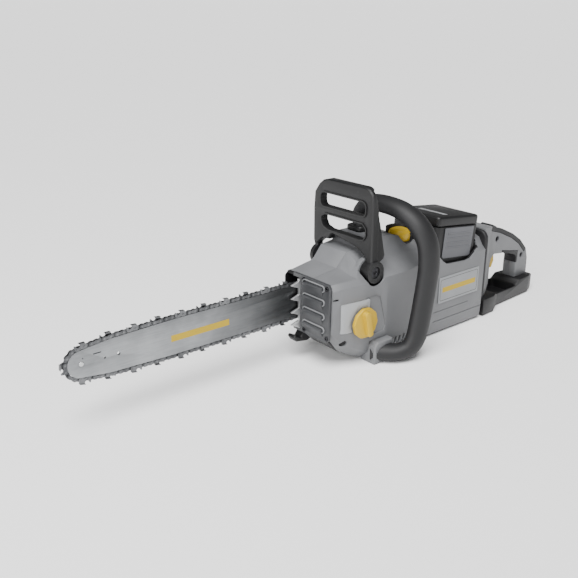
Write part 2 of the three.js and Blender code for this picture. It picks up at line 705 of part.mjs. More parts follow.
// ---- Oil tank, window, pump and cap ----
const windowPanel = windowSeat(0, 60, 90).intersect(bodySolid.subtract(bodyHollow));
piece("oil_window", biggest(windowPanel.subtract(capBoss(GAP, 50, 95))), paint(LIGHT_GREY, 0.25));
const TANK = { x0: -68, x1: -15, y0: 54, y1: CAP_Y - 5, z0: WINDOW_Z0 - 1, z1: 13 };
piece(
  "oil_tank",
  cut(
    block(TANK.x0, TANK.x1, TANK.y0, TANK.y1, TANK.z0, TANK.z1),
    block(TANK.x0 + 2, TANK.x1 - 2, TANK.y0 + 2, TANK.y1 - 2, TANK.z0 + 2, TANK.z1 - 2),
    rod(CAP_X, CAP_Z, 10, TANK.y1 - 4, TANK.y1 + 4, 28),
  ),
  paint("#d9dadb", 0.4),
);
piece(
  "oil_pump",
  join(block(-50, -33, 13, 27, -42, -28), rod(-41.5, -35, 4, 26, 34, 16)),
  paint("#515256", 0.5, 0.4),
);
const CAP_FACE = SIDE_Y + 0.6;
const capLobes = new THREE.Shape();
const CAP_SIDES = 40;
for (let i = 0; i < CAP_SIDES; i += 1) {
  const angle = (i / CAP_SIDES) * Math.PI * 2;
  const r = CAP_R - (i % 4 < 2 ? 0 : 0.7);
  const method = i ? "lineTo" : "moveTo";
  capLobes[method](CAP_X + r * Math.cos(angle), CAP_Z + r * Math.sin(angle));
}
const gripBar = sidePlate(roundedRect(-19, 19, -4.6, 4.6, 4), CAP_FACE, CAP_FACE + 13, 1)
  .rotate([0, -78, 0])
  .translate([CAP_X, 0, CAP_Z]);
piece(
  "oil_cap",
  join(
    sidePlate(capLobes, CAP_FACE, CAP_FACE + 6, 1),
    rod(CAP_X, CAP_Z, 14 - GAP, CAP_Y - 4.5, CAP_FACE + 1, 28),
    gripBar,
  ),
  paint(YELLOW, 0.38),
);

// ---- Hand guard ----
const BOSS_OUT = RIGHT_Y - 9; // outer face of the far boss
const guardShape = shapeOf([
  [62.5, PIVOT_Z], [GUARD_LEFT, PIVOT_Z], [GUARD_LEFT, GUARD_TOP - 17], [GUARD_LEFT - 2, GUARD_TOP - 8],
  [GUARD_LEFT - 8, GUARD_TOP - 2.5], [GUARD_LEFT - 17, GUARD_TOP], [-15, GUARD_TOP],
  [-26, GUARD_TOP - 3], [-35, GUARD_TOP - 10], [GUARD_RIGHT + 2, GUARD_TOP - 22],
  [GUARD_RIGHT, GUARD_TOP - 45], [GUARD_RIGHT, 66], [BOSS_OUT, 57], [BOSS_OUT, PIVOT_Z],
  [RIGHT_Y - 3, PIVOT_Z], [RIGHT_Y - 2.6, 62], [-30, 68], [-25, 72], [-12, 73], [-8, 80],
  [-4, 82], [41, 74], [55, 67], [62.5, 62],
]);
guardShape.holes.push(
  new THREE.Path(roundedRect(-29, 61, GUARD_TOP - 40, GUARD_TOP - 20.5, 8).getPoints(4)),
  new THREE.Path(
    shapeOf([
      [-23, 91], [-12, 87.5], [50, 86.5], [58, 88], [62, 94],
      [62, 103], [56, 109], [-20, 108.5], [-27, 104], [-27, 98],
    ]).getPoints(),
  ),
);
const GUARD_X = DRIVE_X - GUARD_THICK / 2;
const flange = sidePlate(
  [
    [GUARD_X + 2, 56], [GUARD_X + 2, 124], [GUARD_X - 3, 108], [GUARD_X - 12.5, 66], [GUARD_X - 11, 60],
    [GUARD_X - 3, 56],
  ],
  GUARD_LEFT - 5,
  GUARD_LEFT,
  1,
);
// The near arm's side grows thinner towards the top.
const armTaper = sidePlate(
  [
    [GUARD_X - 5, 114], [GUARD_X - 0.1, 114], [GUARD_X + 6.5, GUARD_TOP - 6],
    [GUARD_X + 6.5, GUARD_TOP + 5], [GUARD_X - 5, GUARD_TOP + 5],
  ],
  63,
  GUARD_LEFT + 5,
);
const BOLT_HEAD = 8;
piece(
  "hand_guard",
  cut(
    join(
      frontPlate(guardShape, GUARD_X, GUARD_X + GUARD_THICK, 2),
      flange,
      rod(DRIVE_X, PIVOT_Z, BOSS_R, 62, 78, 24),
      rod(DRIVE_X, PIVOT_Z, BOSS_R, BOSS_OUT, RIGHT_Y - 2.5, 24),
    ),
    armTaper,
    rod(DRIVE_X, PIVOT_Z, 4 + GAP, -70, 90),
    rod(DRIVE_X, PIVOT_Z, BOLT_HEAD + GAP, 73, 90, 28),
    rod(DRIVE_X, PIVOT_Z, BOLT_HEAD + GAP, BOSS_OUT - 5, BOSS_OUT + 3, 28),
  ),
  paint(BLACK, 0.5),
);
const boltSocket = rod(DRIVE_X, PIVOT_Z, 3, 75, 90, 6);
piece(
  "guard_bolt_left",
  cut(
    join(
      rod(DRIVE_X, PIVOT_Z, BOLT_HEAD, 73 + GAP, 77, 24),
      rod(DRIVE_X, PIVOT_Z, 4, 50, 74),
    ),
    boltSocket,
  ),
  paint("#4c4d50", 0.35, 0.8),
);
piece(
  "guard_bolt_right",
  join(
    rod(DRIVE_X, PIVOT_Z, BOLT_HEAD, BOSS_OUT - 1, BOSS_OUT + 3 - GAP, 24),
    rod(DRIVE_X, PIVOT_Z, 4, BOSS_OUT + 2, RIGHT_Y + 13),
  ),
  paint("#4c4d50", 0.35, 0.8),
);

// ---- Front handle ----
const FLAT = TUBE_A / TUBE_B;
const FOOT_Y = -5; // far leg of the handle
function handleTube(r, extra) {
  const path = new THREE.CatmullRomCurve3(
    [
      [-131, FOOT_Y, DECK_Z + 1.2 - extra], [-131, FOOT_Y, DECK_Z + 9], [-132.5, FOOT_Y - 3, 105],
      [-134, 8, 119.5], [-134, 37, 122.5], [-136, 68, 118], [-140, 92, 103.5], [-144, HANDLE_OUT - 5, 80],
      [-144, HANDLE_OUT, 50], [-141, HANDLE_OUT, 20], [-136, HANDLE_OUT, -10],
      [-131, HANDLE_OUT, -36], [-126, HANDLE_OUT, -54], [-117, HANDLE_OUT - 2.5, -68],
      [-103, HANDLE_OUT - 10, -74], [-88, SIDE_Y + 8, -74.4], [-77 + extra, SIDE_Y - 3 - extra, -74.4],
    ].map(([x, y, z]) => new THREE.Vector3(x / FLAT, y, z)),
  );
  const ring = new THREE.Shape().absarc(0, 0, r, 0, Math.PI * 2);
  return solid(
    new THREE.ExtrudeGeometry(ring, {
      steps: 38,
      curveSegments: 6,
      extrudePath: path,
      bevelEnabled: false,
    }).scale(FLAT, 1, 1),
  );
}
piece("front_handle", handleTube(TUBE_B, 0), paint(BLACK, 0.62));
const tubeRoom = handleTube(TUBE_B + GAP, 1);
piece(
  "handle_clamp",
  biggest(cut(
    sidePlate(
      [
        [CLAMP.x0, CLAMP.z0], [CLAMP.x1, CLAMP.z0], [CLAMP.x1, CLAMP.z1 - 6],
        [CLAMP.x1 - 6, CLAMP.z1], [CLAMP.x0, CLAMP.z1],
      ],
      CLAMP.y0,
      CLAMP.y1,
      1.5,
    ),
    tubeRoom,
  )),
  paint(GREY, 0.5),
);
const FOOT = { x0: -153, x1: -109, y0: FOOT_Y - 16, y1: FOOT_Y + 15, h: 8 };
piece(
  "handle_foot",
  cut(
    deckPlate(roundedRect(FOOT.x0, FOOT.x1, FOOT.y0, FOOT.y1, 8), DECK_Z + GAP, DECK_Z + FOOT.h, 1.5),
    tubeRoom,
  ),
  paint(BLACK, 0.6),
);

// ---- Battery ----
const LID_H = 16;
const CASE_TOP = BATTERY_H - LID_H;
const batteryPlate = (inward, z0, z1, bevel) =>
  deckPlate(
    roundedRect(
      -half(BATTERY_L) + inward, half(BATTERY_L) - inward,
      -half(BATTERY_W) + inward, half(BATTERY_W) - inward,
      Math.max(7 - inward, 2),
    ),
    z0,
    z1,
    bevel,
  );
piece(
  "battery_case",
  batteryFrame(
    cut(
      batteryPlate(0, 0, CASE_TOP, 0),
      batteryPlate(2.5, 2.5, CASE_TOP + 1, 0),
      block(half(BATTERY_L) - 12, half(BATTERY_L) - 4, -14, 14, -1, 3),
    ),
  ),
  paint("#48484a", 0.55),
);
piece("battery_lid", batteryFrame(batteryPlate(0, CASE_TOP + GAP, BATTERY_H, 2.5)), paint(BLACK, 0.5));
const panelOutline = [[-36, CASE_TOP - 1], [-35, 15], [-32, 12.5], [29, 12.5], [31.5, 15], [32, CASE_TOP - 1]];
piece(
  "battery_panel",
  batteryFrame(
    join(
      sidePlate(panelOutline, half(BATTERY_W) + GAP, half(BATTERY_W) + 2.2, 0.8),
      ...[0, 1, 2, 3].map((i) =>
        block(-30, 26, half(BATTERY_W) + 2, half(BATTERY_W) + 3, CASE_TOP - 10 - i * 7, CASE_TOP - 8.6 - i * 7),
      ),
    ),
  ),
  paint("#858688", 0.5),
);
const CELL_R = 9;
const cells = [];
for (let row = 0; row < 2; row += 1) {
  for (let column = 0; column < 4; column += 1) {
    cells.push(rod((column - 1.5) * 21, 15 + row * 21, CELL_R, -32, 32, 12));
  }
}
piece(
  "battery_cells",
  batteryFrame(join(block(-41, 41, -33, -29, 4, 48), block(-41, 41, 29, 33, 4, 48), ...cells)),
  paint("#3f6f9a", 0.4),
);
const linerSkin = cut(
  batteryBox(BAY_CLEAR + LINER, -BAY_CLEAR - LINER, 200),
  batteryBox(BAY_CLEAR, -BAY_CLEAR, 201),
  bayNotch,
);
const TERMINAL = { x: half(BATTERY_L) - 8, w: 24 };
piece("battery_bay", biggest(linerSkin.intersect(bodySolid)), paint(BLACK, 0.6));
piece(
  "battery_terminals",
  batteryFrame(
    block(TERMINAL.x - 3, TERMINAL.x + 3, -half(TERMINAL.w), half(TERMINAL.w), -BAY_CLEAR + GAP, 2),
  ),
  paint("#2e3f2e", 0.5),
);
piece("controller", block(-190, CHAIN_BAY_BACK - WALL - 4, 2, 54, -56, -26), paint("#38393b", 0.5, 0.3));

// ---- Battery release ----
const nearSide = block(-6, 60, -60, 60, DECK_Z - 14, 120)
  .rotate([0, 0, 51])
  .translate([BUTTON.x, BUTTON.y, 0]);
piece(
  "release_bezel",
  cut(
    postRod(BUTTON.x, BUTTON.y, BUTTON.bezel, BUTTON.floor, BUTTON.top, 24),
    postRod(BUTTON.x, BUTTON.y, BUTTON.r + 0.8, BUTTON.floor + 3, 120, 24),
    nearSide,
  ),
  paint(BLACK, 0.5),
);
const BUTTON_TRAVEL = 4;
const buttonTop = BUTTON.top - 1.5;
const buttonProfile = [
  [0, BUTTON.floor + 3 + BUTTON_TRAVEL + 0.6], [BUTTON.r, BUTTON.floor + 3 + BUTTON_TRAVEL + 0.6],
  [BUTTON.r, buttonTop - 6], [BUTTON.r - 2, buttonTop - 2.4], [BUTTON.r - 6, buttonTop - 0.6],
  [0, buttonTop],
];
piece(
  "release_button",
  solid(
    new THREE.LatheGeometry(buttonProfile.map(([r, z]) => new THREE.Vector2(r, z)), 24)
      .rotateX(Math.PI / 2)
      .translate(BUTTON.x, BUTTON.y, 0),
  ),
  paint(YELLOW, 0.35),
);

// ---- Rear handle ----
const SEAL_BACK = BODY_REAR - SEAL_LENGTH;
const ROOT = SEAL_BACK - GAP;
piece(
  "rear_seal",
  frontPlate(
    roundedRect(REAR_RIGHT_Y + 4, SIDE_Y - 6, -62, 57, 16),
    SEAL_BACK,
    BODY_REAR - GAP,
    1.5,
  ),
  paint(BLACK, 0.7),
);
const topLine = [[ROOT, 58], [-363, 54], [-402, 42], [-438, 26], [-466, 10], [-486, -9], [-493, -28]];
const handleProfile = [
  ...topLine, [-494, -57], [-458, -57], [-457, -42], [-457, -20], [-450, -14],
  [-418, -3], [-386, 1], [-372, -2], [-366, -10], [-366, -44], [-352, -59], [ROOT, -59],
];
const planOutline = [
  [ROOT, GRIP_Y - 34], [-350, GRIP_Y - 30], [-385, GRIP_Y - GRIP_HALF], [-430, GRIP_Y - GRIP_HALF + 1],
  [-462, GRIP_Y - STRUT_HALF], [-500, GRIP_Y - STRUT_HALF + 1],
  [-500, GRIP_Y + STRUT_HALF - 1], [-462, GRIP_Y + STRUT_HALF], [-430, GRIP_Y + GRIP_HALF - 1],
  [-385, GRIP_Y + GRIP_HALF], [-350, GRIP_Y + 30], [ROOT, GRIP_Y + 36],
].toReversed();
const handleSolid = sidePlate(handleProfile, -20, 90).intersect(deckPlate(planOutline, -70, 70));
const handleHollow = sidePlate(inset(handleProfile, WALL), -20, 90)
  .intersect(deckPlate(inset(planOutline, WALL), -70, 70));
const overPoints = topLine.slice(1, 6);
const overProfile = (depth) => [
  ...overPoints.map(([x, z]) => [x - 4, z + 6]),
  ...overPoints.toReversed().map(([x, z]) => [x + depth * 0.55, z - depth]),
];
const OVER_DEPTH = 6.5;
const overmould = handleSolid.intersect(sidePlate(overProfile(OVER_DEPTH), -20, 90));
const overTool = sidePlate(overProfile(OVER_DEPTH + GAP * 1.5), -20, 90);
const overRoom = join(overTool, overTool.translate([2 * GAP, 0, 0]), overTool.translate([-GAP, 0, 0]));
const padTop = (grow) => sidePlate(
  [
    [-408 + grow, -12], [-408 + grow, 3 + grow], [-462 - grow, -9 + grow],
    [-462 - grow, -30], [-456.5, -30], [-440, -20],
  ],
  -20,
  90,
);
const LOCK = { x0: -402, x1: -372, y: 6.5 };
const lockRoom = block(LOCK.x0 - 2, LOCK.x1 + 2, GRIP_Y - LOCK.y - 0.8, GRIP_Y + LOCK.y + 0.8, 22, 90);
const TRIGGER_HALF = 7;
const triggerRoom = block(-406, -363, GRIP_Y - TRIGGER_HALF - 0.8, GRIP_Y + TRIGGER_HALF + 0.8, -40, 17);
const HANDLE_SCREWS = [[-391, 26, GRIP_HALF - 2], [-473, -19, STRUT_HALF - 1.6]]; // x, z, head
const SCREW_Y = GRIP_Y + LOCK.y + 1; // inner end of the handle screws, clear of the lockout
const screwSeats = HANDLE_SCREWS.map(([x, z]) => rod(x, z, SCREW_R + GAP, SCREW_Y - GAP, 90, 20));
const handleShell = cut(handleSolid, handleHollow, overRoom, padTop(GAP), triggerRoom, ...screwSeats);
const leftOfGrip = block(-600, 0, GRIP_Y + GAP / 2, 120, -100, 100);
const rightOfGrip = block(-600, 0, -60, GRIP_Y - GAP / 2, -100, 100);
piece("rear_handle_left", biggest(handleShell.intersect(leftOfGrip)), paint(GREY, 0.55));
piece("rear_handle_right", biggest(handleShell.intersect(rightOfGrip)), paint(GREY, 0.55));
piece("grip_overmould", biggest(overmould.subtract(lockRoom)), paint(BLACK, 0.75));
piece("grip_pad", biggest(handleSolid.intersect(padTop(0))), paint(BLACK, 0.75));
HANDLE_SCREWS.forEach(([x, z, head], i) => {
  piece(`handle_screw_${i + 1}`, rod(x, z, SCREW_R, SCREW_Y, GRIP_Y + head, 18), paint(DARK, 0.4, 0.7));
});
piece(
  "side_screw",
  rod(SIDE_SCREW.x, SIDE_SCREW.z, SCREW_R, 50, 63, 18),
  paint(DARK, 0.4, 0.7),
);
piece(
  "trigger",
  sidePlate(
    [
      [-367, 12], [-374, 14], [-392, 5], [-399, -4], [-401, -16], [-396, -27], [-391, -27],
      [-388, -16], [-380, -8], [-369, -4],
    ],
    GRIP_Y - TRIGGER_HALF,
    GRIP_Y + TRIGGER_HALF,
    1,
  ),
  paint(YELLOW, 0.4),
);
piece(
  "trigger_lockout",
  sidePlate(
    [[LOCK.x1, 36], [LOCK.x1, 51], [-376, 53], [-390, 48.5], [LOCK.x0, 43], [LOCK.x0, 30], [-392, 30]],
    GRIP_Y - LOCK.y,
    GRIP_Y + LOCK.y,
    1,
  ),
  paint(DARK, 0.55),
);
piece("trigger_switch", block(-398, -376, GRIP_Y - 6, GRIP_Y + 6, 18, 27), paint("#1d1d1f", 0.4));

const TRAY_TOP = -59.6;
const trayProfile = [
  [ROOT, TRAY_TOP], [-372, TRAY_TOP], [-384, -66], [-444, -66], [-455, TRAY_TOP + 2.3],
  [-499, TRAY_TOP + 2.3], [-511, -63], [-513, -80], [-496, -86], [ROOT, FLOOR_Z + 1],
];
const trayPlan = [
  [ROOT, -15], [-361, -14], [-386, 0], [-484, 5], [-505, 15], [-513, 24],
  [-513, 36], [-506, 45], [-484, 54], [-386, 60], [-361, 73], [ROOT, SIDE_Y - 5],
];
const trayDish = deckPlate(
  roundedRect(-446, -388, 5, 55, 8),
  -80,
  -40,
);
piece(
  "rear_guard",
  cut(
    sidePlate(trayProfile, -20, 90).intersect(deckPlate(trayPlan, -100, -40)),
    trayDish,
  ),
  paint(BLACK, 0.65),
);
piece(
  "label_plate",
  sidePlate([[-308, -37], [-214, -37], [-214, 4], [-308, 4]], SIDE_Y - 5 + GAP, SIDE_Y - 5 + 1.3),
  paint(LIGHT_GREY, 0.4),
);

// ---- Origin at the middle of the footprint ----
const bounds = new THREE.Box3().setFromObject(saw, true);
const centre = bounds.getCenter(new THREE.Vector3());
saw.children.forEach((mesh) => mesh.geometry.translate(-centre.x, -centre.y, -bounds.min.z));

export default saw;
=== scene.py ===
"""Battery chainsaw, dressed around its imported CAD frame.

Lengths are metres in the frame's axes: +X to the bar tip, +Y to the operator's left, +Z up.
"""

import json
import math

import bmesh
import bpy
from mathutils import Matrix, Vector


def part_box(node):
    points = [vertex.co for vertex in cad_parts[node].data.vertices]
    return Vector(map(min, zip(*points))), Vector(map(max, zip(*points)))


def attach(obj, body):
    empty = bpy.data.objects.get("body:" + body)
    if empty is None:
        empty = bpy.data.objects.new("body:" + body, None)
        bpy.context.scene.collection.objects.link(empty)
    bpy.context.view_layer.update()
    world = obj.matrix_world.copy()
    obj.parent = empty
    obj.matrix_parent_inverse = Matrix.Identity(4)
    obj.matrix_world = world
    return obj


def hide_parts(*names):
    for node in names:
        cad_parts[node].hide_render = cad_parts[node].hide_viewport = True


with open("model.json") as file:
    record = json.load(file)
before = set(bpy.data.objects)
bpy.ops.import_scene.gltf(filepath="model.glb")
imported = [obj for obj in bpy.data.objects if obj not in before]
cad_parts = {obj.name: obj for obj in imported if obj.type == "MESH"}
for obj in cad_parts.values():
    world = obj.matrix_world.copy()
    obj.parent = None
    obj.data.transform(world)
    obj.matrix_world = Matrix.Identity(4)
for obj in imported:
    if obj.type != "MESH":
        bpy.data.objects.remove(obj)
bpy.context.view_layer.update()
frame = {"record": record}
MM = 0.001

# ---- Places taken from the frame ----
BAR_LOW, BAR_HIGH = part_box("guide_bar")
BAR_TIP = 339 * MM  # bumper plate to the tip of the bar
# Bumper plate, middle of the bar and its centre line: the pieces are laid out from here.
ORIGIN = Vector(
    (BAR_HIGH[0] - BAR_TIP, (BAR_LOW[1] + BAR_HIGH[1]) / 2, (BAR_LOW[2] + BAR_HIGH[2]) / 2)
)


def at(x, y, z):
    """A point given in millimetres from ORIGIN."""
    return ORIGIN + Vector((x, y, z)) * MM


# ---- Camera, light and floor ----
CAMERA_PLACE = (620.5, 749.3, 375.3)
CAMERA_TURN = (141.04, 20.27, -0.16)  # azimuth, elevation and roll in degrees
CAMERA_LENS = 46.31
SENSOR_WIDTH = 36


def add_camera():
    azimuth, elevation, roll = (math.radians(v) for v in CAMERA_TURN)
    back = Vector(
        (
            math.sin(azimuth) * math.cos(elevation),
            -math.cos(azimuth) * math.cos(elevation),
            math.sin(elevation),
        )
    )
    right = Vector((math.cos(azimuth), math.sin(azimuth), 0))
    up = back.cross(right)
    turn = Matrix((right, up, back)).transposed() @ Matrix.Rotation(roll, 3, "Z")
    data = bpy.data.cameras.new("camera")
    data.lens = CAMERA_LENS
    data.sensor_width = SENSOR_WIDTH
    camera = bpy.data.objects.new("camera", data)
    camera.matrix_world = Matrix.Translation(at(*CAMERA_PLACE)) @ turn.to_4x4()
    bpy.context.collection.objects.link(camera)
    bpy.context.scene.camera = camera


def add_light(name, place, target, size, power, color="#ffffff"):
    data = bpy.data.lights.new(name, "AREA")
    data.shape = "RECTANGLE"
    data.size, data.size_y = size
    data.energy = power
    data.color = linear(color)[:3]
    light = bpy.data.objects.new(name, data)
    light.location = place
    light.rotation_euler = (Vector(target) - Vector(place)).to_track_quat("-Z", "Y").to_euler()
    bpy.context.collection.objects.link(light)


def add_sky_panel(toward, strength, spread):
    """Sun lamp, spread degrees wide: a very large soft panel far off, shining toward a point."""
    data = bpy.data.lights.new("panel", "SUN")
    data.energy = strength
    data.angle = math.radians(spread)
    panel = bpy.data.objects.new("panel", data)
    panel.rotation_euler = Vector(toward).to_track_quat("-Z", "Y").to_euler()
    bpy.context.collection.objects.link(panel)


def linear(color, alpha=1.0):
    """An sRGB hex colour as linear RGBA."""
    parts = [int(color[i : i + 2], 16) / 255 for i in (1, 3, 5)]
    curve = [c / 12.92 if c <= 0.04045 else ((c + 0.055) / 1.055) ** 2.4 for c in parts]
    return (*curve, alpha)


# ---- Material helpers ----
def new_material(name):
    material = bpy.data.materials.new(name)
    material.use_nodes = True
    tree = material.node_tree
    shader = tree.nodes["Principled BSDF"]
    return material, tree, shader


def add_node(tree, kind, settings=None, links=None):
    """A node of that kind: settings are attributes or input values, links join its inputs."""
    node = tree.nodes.new(kind)
    for key, value in (settings or {}).items():
        if isinstance(key, str) and hasattr(node, key):
            setattr(node, key, value)
        else:
            node.inputs[key].default_value = value
    for key, socket in (links or {}).items():
        tree.links.new(socket, node.inputs[key])
    return node


def per_mm(size):
    """Texture scale for a pattern of that size in millimetres."""
    return 1000 / size


def vary_gloss(tree, shader, pattern, roughness, low, high):
    """Roughness that follows a pattern, from low under the middle value to high over it."""
    spread = add_node(
        tree,
        "ShaderNodeMapRange",
        {"To Min": roughness - low, "To Max": roughness + high},
        {"Value": pattern},
    )
    tree.links.new(spread.outputs["Result"], shader.inputs["Roughness"])


def blotches(tree, place, size):
    """Slow pattern over a surface, of patches of size millimetres."""
    noise = add_node(
        tree, "ShaderNodeTexNoise", {"Scale": per_mm(size), "Detail": 3.0}, {"Vector": place}
    )
    return noise.outputs["Fac"]


def two_tones(tree, pattern, dark, light, low, high):
    """Colour that goes from dark to light as a pattern goes from low to high."""
    ramp = add_node(tree, "ShaderNodeValToRGB", links={"Fac": pattern})
    for end, position, color in zip(ramp.color_ramp.elements, (low, high), (dark, light)):
        end.position = position
        end.color = linear(color)
    return ramp.outputs["Color"]


def moulded_plastic(name, dark, light, roughness, grain=0.9, depth=0.10, ior=1.5):
    """Injection-moulded plastic with a spark-eroded grain: fine grain breaks up its gloss."""
    material, tree, shader = new_material(name)
    shader.inputs["IOR"].default_value = ior
    place = add_node(tree, "ShaderNodeTexCoord").outputs["Object"]
    drift = blotches(tree, place, 60)
    tree.links.new(two_tones(tree, drift, dark, light, 0.3, 0.7), shader.inputs["Base Color"])
    vary_gloss(tree, shader, drift, roughness, 0.05, 0.05)
    # The real grain is 0.1 to 0.2 mm; it is drawn coarser so that it shows.
    grit = add_node(
        tree, "ShaderNodeTexNoise", {"Scale": per_mm(grain), "Detail": 2.0}, {"Vector": place}
    )
    bump = add_node(
        tree,
        "ShaderNodeBump",
        {"Strength": depth, "Distance": 0.2 * MM},
        {"Height": grit.outputs["Fac"]},
    )
    tree.links.new(bump.outputs["Normal"], shader.inputs["Normal"])
    return material


LINE_STRETCH = 14  # length of a grinding line over its width


def drawn_steel(
    name,
    dark,
    light,
    roughness,
    along=(1, LINE_STRETCH, LINE_STRETCH),
    size=1.6,
    depth=0.12,
    painted_reflection=None,
):
    """Steel ground or drawn one way: long fine lines across which the gloss changes.

    A painted reflection darkens its colour between two places along X: (darkest, full colour,
    share left).
    """
    material, tree, shader = new_material(name)
    shader.inputs["Metallic"].default_value = 1.0
    place = add_node(tree, "ShaderNodeTexCoord").outputs["Object"]
    stretched = add_node(
        tree, "ShaderNodeMapping", {"Scale": along}, {"Vector": place}
    ).outputs["Vector"]
    # The real grinding lines are under 0.1 mm apart; they are drawn coarser so that they show.
    lines = add_node(
        tree,
        "ShaderNodeTexNoise",
        {"Scale": per_mm(size * LINE_STRETCH), "Detail": 4.0},
        {"Vector": stretched},
    )
    both = add_node(
        tree,
        "ShaderNodeMath",
        {"operation": "MULTIPLY_ADD", 1: 0.5},
        {0: lines.outputs["Fac"], 2: blotches(tree, place, 38)},
    )
    color = two_tones(tree, both.outputs["Value"], dark, light, 0.55, 0.95)
    # Painted reflection: the colour is scaled down toward one end along X.
    if painted_reflection:
        start, end, share = painted_reflection
        split = add_node(tree, "ShaderNodeSeparateXYZ", links={"Vector": place})
        fall = add_node(
            tree,
            "ShaderNodeMapRange",
            {
                "interpolation_type": "SMOOTHSTEP",
                "From Min": start,
                "From Max": end,
                "To Min": share,
            },
            {"Value": split.outputs["X"]},
        )
        color = add_node(
            tree,
            "ShaderNodeVectorMath",
            {"operation": "SCALE"},
            {0: color, "Scale": fall.outputs["Result"]},
        ).outputs["Vector"]
    tree.links.new(color, shader.inputs["Base Color"])
    vary_gloss(tree, shader, lines.outputs["Fac"], roughness, 0.07, 0.09)
    bump = add_node(
        tree,
        "ShaderNodeBump",
        {"Strength": depth, "Distance": 0.05 * MM},
        {"Height": lines.outputs["Fac"]},
    )
    tree.links.new(bump.outputs["Normal"], shader.inputs["Normal"])
    return material


def frosted_plastic(name, color, roughness, transmission):
    """A milky tank wall that lets some light through."""
    material, tree, shader = new_material(name)
    shader.inputs["Transmission Weight"].default_value = transmission
    shader.inputs["Subsurface Weight"].default_value = 0.15
    shader.inputs["Subsurface Radius"].default_value = (0.002, 0.002, 0.002)
    place = add_node(tree, "ShaderNodeTexCoord").outputs["Object"]
    shader.inputs["Base Color"].default_value = linear(color)
    vary_gloss(tree, shader, blotches(tree, place, 20), roughness, 0.04, 0.04)
    return material


# The bar's colour falls from 215 mm out in to the bumper plate. It is matched to how dark the bar
# looks there: a painted reflection, not a known finish of the steel.
PAINTED_REFLECTION_START = at(10, 0, 0).x
PAINTED_REFLECTION_END = at(215, 0, 0).x
PAINTED_REFLECTION_SHARE = 0.24  # share of the steel's brightness left at the darkest place
# None of the materials is marked on the saw: each is the usual one for its kind of part.
MATERIALS = {
    # Glass-filled nylon, injection moulded: even mid grey, its low sheen broken up by grain.
    "housing_grey": moulded_plastic("grey_moulded_pa_glass_filled", "#626365", "#6c6d6f", 0.5),
    # Powder-coated metal plate: a darker grey with a smoother, slightly glossier skin.
    "plate_grey": moulded_plastic(
        "grey_powder_coated_plate", "#353638", "#404143", 0.45, 0.7, 0.08
    ),
    # Nylon, moulded black: deep and matt, pale only where it faces a light.
    "black_plastic": moulded_plastic("black_moulded_pa", "#08080a", "#0c0c0d", 0.5),
    # Soft overmoulded rubber: a dry black with the widest, dullest highlights.
    "soft_black": moulded_plastic("black_soft_overmould", "#0f0f11", "#141416", 0.6, 0.7, 0.14),
    # ABS, moulded nearly black: a touch lighter than the lid above it.
    "battery_grey": moulded_plastic("dark_grey_battery_abs", "#111112", "#171718", 0.55),
    # ABS, moulded mid grey: cooler than the housing, with the same grain.
    "panel_grey": moulded_plastic("mid_grey_panel_abs", "#55565a", "#5d5e62", 0.55),
    # Acetal, moulded and smooth: strong yellow with a soft, rounded shine.
    "yellow": moulded_plastic("yellow_moulded_pom", "#b49200", "#bc9a00", 0.46, 1.2, 0.05),
    # Hardened steel, ground lengthwise: long fine streaks under a broad sheen, with a painted
    # reflection darkening it toward the bumper plate.
    "bar_steel": drawn_steel(
        "ground_bar_steel", "#8a8c8e", "#a2a4a6", 0.5, painted_reflection=(PAINTED_REFLECTION_START, PAINTED_REFLECTION_END, PAINTED_REFLECTION_SHARE)
    ),
    # Stamped steel, taken to be oiled: dark and mottled, with a low gloss.
    "chain_steel": drawn_steel("oiled_chain_steel", "#4e4f51", "#77787a", 0.48, (3, 3, 3), 1.0),
    # Zinc-plated steel: the brightest metal on the saw, softly reflecting.
    "bright_steel": drawn_steel("zinc_plated_steel", "#c4c5c6", "#e2e2e3", 0.4, (4, 4, 4), 0.8),
    # Black oxide on steel: dark, with a thin metallic glint. It is also the painted shade in the
    # bar's slot and pit.
    "dark_steel": drawn_steel("blackened_steel_and_painted_shade", "#2c2c2e", "#48484b", 0.36, (4, 4, 4), 0.8),
    # Cast aluminium: pale, grainy and dull.
    "motor_alloy": drawn_steel("cast_motor_alloy", "#8a8b8d", "#a5a6a8", 0.42, (3, 3, 3), 1.4),
    # Natural polypropylene: milky, and light passes a little way in.
    "tank_plastic": frosted_plastic("natural_tank_polypropylene", "#9b9d9f", 0.4, 0.1),
    # Moulded black plastic of the inner parts: matt, with no finish.
    "inner_plastic": moulded_plastic("black_inner_plastic", "#161618", "#202022", 0.6),
    # Heat-shrunk sleeve: thin blue film with a clear shine.
    "cell_wrap": moulded_plastic("blue_cell_wrap", "#2f5d8a", "#38699a", 0.35, 1.2, 0.04),
    # Printed silver film: smooth, pale and a little shiny.
    "label_film": moulded_plastic("silver_label_film", "#7f8183", "#8b8d8f", 0.4, 1.0, 0.04),
}
SLOT_OF = {part["node"]: part["material_slot"] for part in frame["record"]["subparts"]}
BODY_OF = {
    node: body for body, nodes in frame["record"]["behaviour"]["bodies"].items() for node in nodes
}


# ---- Mesh helpers ----
def new_piece(name, mesh, slot, body, replaced=(), material=None):
    """Links a mesh as a visible piece that rides on a body and stands for the replaced nodes."""
    piece = bpy.data.objects.new(name, mesh)
    bpy.context.collection.objects.link(piece)
    mesh.materials.clear()
    mesh.materials.append(material or MATERIALS[slot])
    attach(piece, body)
    if replaced:
        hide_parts(*replaced)
    return piece


def mesh_of(work, name, smooth_angle=35):
    """Mesh from a bmesh, smooth where neighbouring faces meet at less than smooth_angle."""
    limit = math.radians(smooth_angle)
    bmesh.ops.recalc_face_normals(work, faces=work.faces)
    for face in work.faces:
        face.smooth = True
    for edge in work.edges:
        edge.smooth = len(edge.link_faces) == 2 and edge.calc_face_angle(0) < limit
    mesh = bpy.data.meshes.new(name)
    work.to_mesh(mesh)
    work.free()
    return mesh


